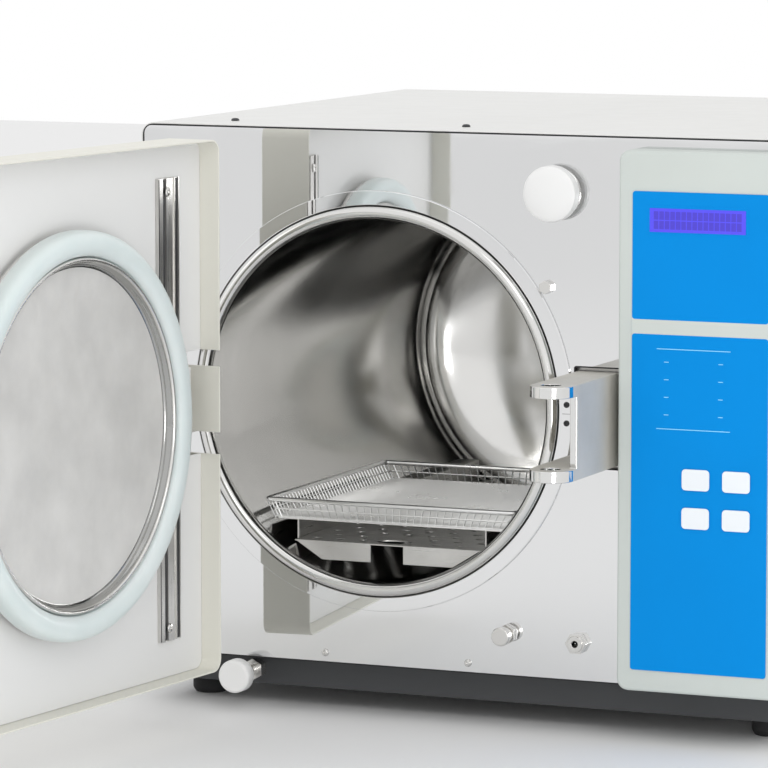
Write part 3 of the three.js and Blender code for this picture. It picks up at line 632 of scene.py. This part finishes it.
def make_tray():
    """The tray's own sheet, with its staggered perforations cut through."""
    source = NODES["perforated_tray"]
    low, high = (mouth_coordinates(c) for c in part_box("perforated_tray"))
    sheet = bpy.data.objects.new("tray_sheet", source.data.copy())
    bpy.context.scene.collection.objects.link(sheet)
    bm = bmesh.new()
    bm.from_mesh(sheet.data)
    bmesh.ops.remove_doubles(bm, verts=bm.verts, dist=2e-6)
    bm.to_mesh(sheet.data)
    bm.free()
    if "custom_normal" in sheet.data.attributes:
        sheet.data.attributes.remove(sheet.data.attributes["custom_normal"])
    punches = Build()
    margin = 20
    finger_half = 30
    rows = int((high.y - low.y - 1.5 * margin) / TRAY_HOLE_PITCH)
    columns = 7
    for row in range(rows):
        y = low.y + margin + TRAY_HOLE_PITCH * row
        shift = TRAY_HOLE_PITCH / 4 * (1 if row % 2 else -1)
        for column in range(columns):
            x = (column - (columns - 1) / 2) * TRAY_HOLE_PITCH + shift
            if abs(x) < finger_half and row < 2:
                continue
            ring = arc((x, y), TRAY_HOLE_R, 0, 345, 23)
            punches.rings([[at(u, v, z) for u, v in ring] for z in (high.z - 5, high.z + 5)])
    cutter = bpy.data.objects.new("tray_punches", bpy.data.meshes.new("tray_punches"))
    cutter.data.from_pydata([tuple(v) for v in punches.verts], [], punches.faces)
    shade(cutter.data)
    bpy.context.scene.collection.objects.link(cutter)
    hole = sheet.modifiers.new("holes", "BOOLEAN")
    hole.object = cutter
    hole.operation = "DIFFERENCE"
    hole.solver = "EXACT"
    depsgraph = bpy.context.evaluated_depsgraph_get()
    cut_mesh = bpy.data.meshes.new_from_object(sheet.evaluated_get(depsgraph))
    verts = [tuple(v.co) for v in cut_mesh.vertices]
    faces = [tuple(p.vertices) for p in cut_mesh.polygons]
    bpy.data.objects.remove(sheet)
    bpy.data.objects.remove(cutter)
    tray = piece(
        "tray_perforated", verts, faces, BRUSHED_X, "tray", "brushed_steel", replaces=["perforated_tray"]
    )
    edge = tray.modifiers.new("edge_radius", "BEVEL")
    edge.width = 0.3 * MM
    edge.segments = 2
    edge.limit_method = "ANGLE"
    edge.angle_limit = math.radians(50)
    edge.harden_normals = True


# ------------------------------------------------------------------ door


def make_lid():
    """A dished lid: a satin face inside a polished rim that the gasket sits around; the wall dropping from
    the rim to the face takes darker steel, as painted shade.
    """
    back, seat, outer_r = -36.0, -30.0, 204.0
    lip_r, lip_front, disc_r, disc = 180.0, -15.0, 171.0, -26.0
    profile = (
        [(0.0, back), (outer_r - 1, back), (outer_r, back + 1), (outer_r, seat), (lip_r, seat)]
        + arc((lip_r - 2.5, lip_front - 2.5), 2.5, 0, 180, 12)
        + [(lip_r - 6.5, lip_front - 6)]
        + arc((disc_r - 1.5, disc + 3), 3.0, 0, -90, 8)
        + [(120.0, disc), (60.0, disc - 0.15), (0.0, disc - 0.2)]
    )
    lid = revolve(
        "lid_dish",
        profile,
        SHADED_RECESS,
        "door",
        "polished_steel",
        sides=256,
        replaces=["pressure_lid"],
        space=DOOR_SPACE,
    )
    lid.data.materials.append(LID_FACE)
    lid.data.materials.append(TURNED)
    # Faces that stay on the first material, the wall from the lip crest down to the face, keep the darker
    # steel as painted shade.
    closed = DOOR_SPACE.inverted()
    for face in lid.data.polygons:
        centre = mouth_coordinates(closed @ face.center)
        radius = math.hypot(centre.x, centre.z)
        if radius < disc_r - 2:
            face.material_index = 1
        elif centre.y > lip_front - 3 or radius > lip_r:
            face.material_index = 2


def make_gasket():
    """Thick moulded ring: a crowned face, a soft inner bead and a sealing rib."""
    inner_r, outer_r, back, crest = 180.5, 207.0, -29.7, LIP_FRONT - 0.3
    middle = (inner_r + outer_r) / 2
    half = (outer_r - inner_r) / 2
    shoulder = back + 7.5
    steps = 28
    face = []
    for i in range(steps + 1):
        a = math.pi * i / steps
        flat = abs(math.cos(a)) ** 0.8 * math.copysign(1, math.cos(a))
        face.append((middle + half * flat, shoulder + (crest - shoulder) * math.sin(a) ** 0.7))
    profile = [(inner_r, back), (outer_r - 1, back), (outer_r, back + 1)] + face
    revolve(
        "gasket_ring",
        profile,
        SILICONE,
        "door",
        "silicone",
        sides=256,
        replaces=["door_gasket"],
        space=DOOR_SPACE,
    )


def make_door_rail():
    """Slotted extrusion: a wide channel and a narrow fin on one backing strip."""
    left, right, z0, z1 = -222.0, -180.5, -239.0, 246.0
    back = -40.7
    base, wide, fin = back + 1.4, back + 4.0, back + 3.0
    section = [
        (left, back),
        (right, back),
        (right, wide),
        (right - 8.5, wide),
        (right - 8.5, base),
        (right - 15.0, base),
        (right - 15.0, wide),
        (right - 27.0, wide),
        (right - 27.0, base),
        (left + 9.0, base),
        (left + 9.0, fin),
        (left + 7.5, fin),
        (left + 7.5, base),
        (left + 1.5, base),
        (left + 1.5, fin),
        (left, fin),
    ]
    build = Build()
    build.rings([[at(x, y, z) for x, y in section] for z in (z0, z1)])
    build.finish(
        "rail_extrusion",
        BRUSHED_Z,
        "door",
        "brushed_steel",
        replaces=["door_rail"],
        space=DOOR_SPACE,
        sharp=20,
    )
    inserts = Build()
    spans = ((right - 14.9, right - 8.6), (left + 1.6, left + 7.4), (right - 1.2, right - 0.2))
    for (x0, x1), top in zip(spans, (base + 0.9, base + 0.7, wide + 0.3)):
        strip = ((x0, top - 0.8), (x1, top - 0.8), (x1, top), (x0, top))
        inserts.rings([[at(x, y, z) for x, y in strip] for z in (z0 + 1, z1 - 1)])
    inserts.finish("rail_inserts", BLACK_PLASTIC, "door", "black_plastic", space=DOOR_SPACE)


# ------------------------------------------------------------------ front fittings


def make_air_filter():
    low, high = (mouth_coordinates(c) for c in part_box("air_filter_cap"))
    x, z = (low.x + high.x) / 2, (low.z + high.z) / 2
    cap_r = (high.x - low.x) / 2
    front, back = low.y, high.y
    dome_rise = 5.5
    turn = [math.pi / 2 * i / 14 for i in range(13)]
    dome = [(cap_r * math.sin(a), front + dome_rise * (1 - math.cos(a))) for a in turn]
    profile = (
        [(0.0, front)]
        + dome[1:]
        + [(cap_r, front + 7), (cap_r, back - 3.4), (cap_r - 0.7, back - 3.0), (cap_r - 0.7, back - 2.4)]
        + [(cap_r, back - 2.0), (cap_r - 0.8, back), (0.0, back)]
    )
    revolve(
        "filter_cap",
        profile,
        WHITE_PLASTIC,
        "cabinet",
        "white_plastic",
        x,
        z,
        96,
        replaces=["air_filter_cap"],
    )
    collar = [(0.0, -8.0), (22.0, -8.0), (23.0, -7.6)]
    collar += [(26.6, -3.4), (27.0, -2.8), (27.0, 0.0), (0.0, 0.0)]
    revolve(
        "filter_collar",
        collar,
        TURNED,
        "cabinet",
        "brushed_steel",
        x,
        z,
        96,
        replaces=["air_filter_collar"],
    )


def make_drain_knob():
    low, high = (mouth_coordinates(c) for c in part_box("drain_valve_knob"))
    x, z = (low.x + high.x) / 2, (low.z + high.z) / 2
    radius = (high.x - low.x) / 2
    front, back = low.y, high.y
    profile = (
        [(0.0, front + 0.6), (radius * 0.45, front + 0.5)]
        + arc((radius - 3.5, front + 3.5), 3.5, -90, 0, 8)
        + [(radius, back - 3), (radius - 2, back), (6.4, back), (6.4, front + 11.7), (0.0, front + 11.7)]
    )
    revolve(
        "drain_knob",
        profile,
        WHITE_PLASTIC,
        "drain_knob",
        "white_plastic",
        x,
        z,
        96,
        replaces=["drain_valve_knob"],
    )


def make_ring_details():
    """The ring is in two halves: a fine split on each side, with a socket screw above and below."""
    face = -3.2
    split_low, split_high = -2.35, -1.95
    head = [(0.0, -0.3), (1.5, -0.3), (1.5, -1.3), (2.2, -1.5), (3.1, -0.9), (3.3, 0.2), (0.0, 0.2)]
    profile = [(radius, y + face) for radius, y in head]
    for side, x in (("left", -219.0), ("right", 218.5)):
        for level, z in (("upper", 7.5), ("lower", -12.0)):
            name = f"ring_screw_{side}_{level}"
            revolve(name, profile, DARK_COAT, "cabinet", "dark_steel", x, z, 24)
        split = Build()
        reach = math.copysign(RING_OUTER_R, x)
        inner = reach * 0.95
        line = [(inner, split_low), (reach, split_low), (reach, split_high), (inner, split_high)]
        split.slab(line, face - 0.06, face + 0.1)
        split.finish(f"ring_split_{side}", BLACK_PLASTIC, "cabinet", "dark_steel")


def make_slot_edging():
    """Black rubber edging around the slot that the latch bracket comes out of."""
    outer = rounded_rect(225.6, 280.0, -59.0, 48.5, 2.0, 3)
    inner = rounded_rect(226.9, 278.7, -57.7, 47.2, 1.2, 3)
    build = Build()
    edge_band(build, outer, inner, 0.25, -0.7, 2.0)
    build.finish("slot_edging", RUBBER, "cabinet", "rubber")


def make_panel_seam():
    """The dark joint between the mirror panels and the hem of the painted cover."""
    low = mouth_coordinates(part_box("front_panel_lower")[0])
    high = mouth_coordinates(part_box("front_panel_upper")[1])
    width, corner = 1.4, 10.0
    outer = rounded_rect(low.x, high.x, low.z, high.z, corner)
    inner = rounded_rect(low.x + width, high.x - width, low.z + width, high.z - width, corner - width)
    build = Build()
    edge_band(build, outer, inner, 0.25, 0.05)
    build.finish("panel_seam", RUBBER, "cabinet", "rubber")


# ------------------------------------------------------------------ control panel


def make_control_details():
    film_low, film_high = (mouth_coordinates(c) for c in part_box("membrane_panel"))
    face = film_low.y
    left, right = film_low.x, film_high.x

    band = Build()
    fillet = 3.0
    low_z, high_z = 89.0, 104.0
    outline = (
        arc((left + fillet, high_z + fillet), fillet, 180, 270, 5)
        + arc((right - fillet, high_z + fillet), fillet, 270, 360, 5)
        + arc((right - fillet, low_z - fillet), fillet, 0, 90, 5)
        + arc((left + fillet, low_z - fillet), fillet, 90, 180, 5)
    )
    band.slab(outline, face - 0.12, face - 0.02)
    band.finish("membrane_band", GREY_FILM, "cabinet", "housing_paint")

    ticks = Build()
    start = left + 27.5
    for z, x0, x1 in (
        [(74.2, start, start + 80), (-8.5, start, start + 80)]
        + [(6.1 + 18.2 * i, start + 8, start + 13) for i in range(4)]
        + [(6.1 + 18.2 * i, start + 67, start + 72) for i in range(4)]
    ):
        low_edge, high_edge = z - 0.35, z + 0.35
        line = [(x0, low_edge), (x1, low_edge), (x1, high_edge), (x0, high_edge)]
        ticks.slab(line, face - 0.08, face - 0.01)
    ticks.finish("membrane_ticks", CYAN_PRINT, "cabinet", "blue_film")

    lcd_low, lcd_high = (mouth_coordinates(c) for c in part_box("display_window"))
    lcd_face = lcd_low.y
    bezel = Build()
    margin = 3.0
    outer = rounded_rect(
        lcd_low.x - margin, lcd_high.x + margin, lcd_low.z - margin, lcd_high.z + margin, 2.0, 3
    )
    inner = rounded_rect(lcd_low.x, lcd_high.x, lcd_low.z, lcd_high.z, 0.8, 3)
    edge_band(bezel, outer, inner, face, face - 0.25)
    bezel.finish("display_bezel", BLUE_FILM, "cabinet", "blue_film")

    cells = Build()
    columns, rows = 16, 2
    width = (lcd_high.x - lcd_low.x - 8) / columns
    height = (lcd_high.z - lcd_low.z - 5) / rows
    for row in range(rows):
        for column in range(columns):
            x0 = lcd_low.x + 4 + column * width
            z0 = lcd_low.z + 2.5 + row * height
            left_edge, right_edge = x0 + 0.5, x0 + width - 0.5
            foot, head = z0 + 0.6, z0 + height - 0.6
            cell = [(left_edge, foot), (right_edge, foot), (right_edge, head), (left_edge, head)]
            cells.slab(cell, lcd_face - 0.04, lcd_face - 0.01)
    cells.finish("display_cells", LCD_CELL, "cabinet", "lcd")


# ------------------------------------------------------------------ studio


def add_area(name, location, target, size, power):
    light = bpy.data.lights.new(name, "AREA")
    light.shape = "RECTANGLE"
    light.size, light.size_y = size
    light.energy = power
    obj = bpy.data.objects.new(name, light)
    obj.location = location
    obj.rotation_euler = (Vector(target) - Vector(location)).to_track_quat("-Z", "Y").to_euler()
    bpy.context.scene.collection.objects.link(obj)
    return obj


def make_studio():
    scene = bpy.context.scene
    world = bpy.data.worlds.new("studio")
    scene.world = world
    world.use_nodes = True
    background = world.node_tree.nodes["Background"]
    background.inputs["Color"].default_value = (1.0, 1.0, 1.0, 1.0)
    background.inputs["Strength"].default_value = 1.0
    scene.view_settings.view_transform = "Standard"

    floor = bpy.data.meshes.new("studio_floor")
    reach = 9.0
    corners = [(-reach, -reach, 0), (reach, -reach, 0), (reach, reach, 0), (-reach, reach, 0)]
    floor.from_pydata(corners, [], [(0, 1, 2, 3)])
    material, shader = shader_of("studio_floor", (0.82, 0.82, 0.82), 0.7)
    vary_roughness(material, shader, noise(material, 1.0), 0.65, 0.75)
    floor.materials.append(material)
    obj = bpy.data.objects.new("studio_floor", floor)
    scene.collection.objects.link(obj)

    add_area("key", (2.2, -3.0, 3.2), (0, 0, 0.35), (1.8, 1.8), 16)
    add_area("fill", (-3.0, -2.6, 1.8), (0, 0, 0.35), (2.0, 2.0), 6)
    add_area("mouth", (1.1, -1.7, 0.2), (0.0, 0.25, 0.16), (0.5, 0.5), 8)
    add_area("top", (0.2, 0.2, 3.4), (0, 0.1, 0.3), (2.5, 2.5), 3)


def make_camera():
    azimuth, elevation = math.radians(CAMERA_AZIMUTH), math.radians(CAMERA_ELEVATION)
    aim = at(*CAMERA_AIM)
    level = math.cos(elevation)
    away = Vector((math.sin(azimuth) * level, -math.cos(azimuth) * level, math.sin(elevation)))
    data = bpy.data.cameras.new("camera")
    data.lens = CAMERA_LENS
    data.sensor_width = 36.0
    data.clip_end = 50.0
    camera = bpy.data.objects.new("camera", data)
    camera.location = aim + away * CAMERA_DISTANCE
    camera.rotation_euler = (-away).to_track_quat("-Z", "Y").to_euler()
    bpy.context.scene.collection.objects.link(camera)
    bpy.context.scene.camera = camera


make_camera()
make_studio()
finish_cad_nodes()
make_chamber()
make_mouth_ring()
make_heating_element()
make_basket()
make_tray()
make_lid()
make_gasket()
make_door_rail()
make_air_filter()
make_drain_knob()
make_ring_details()
make_slot_edging()
make_panel_seam()
make_control_details()
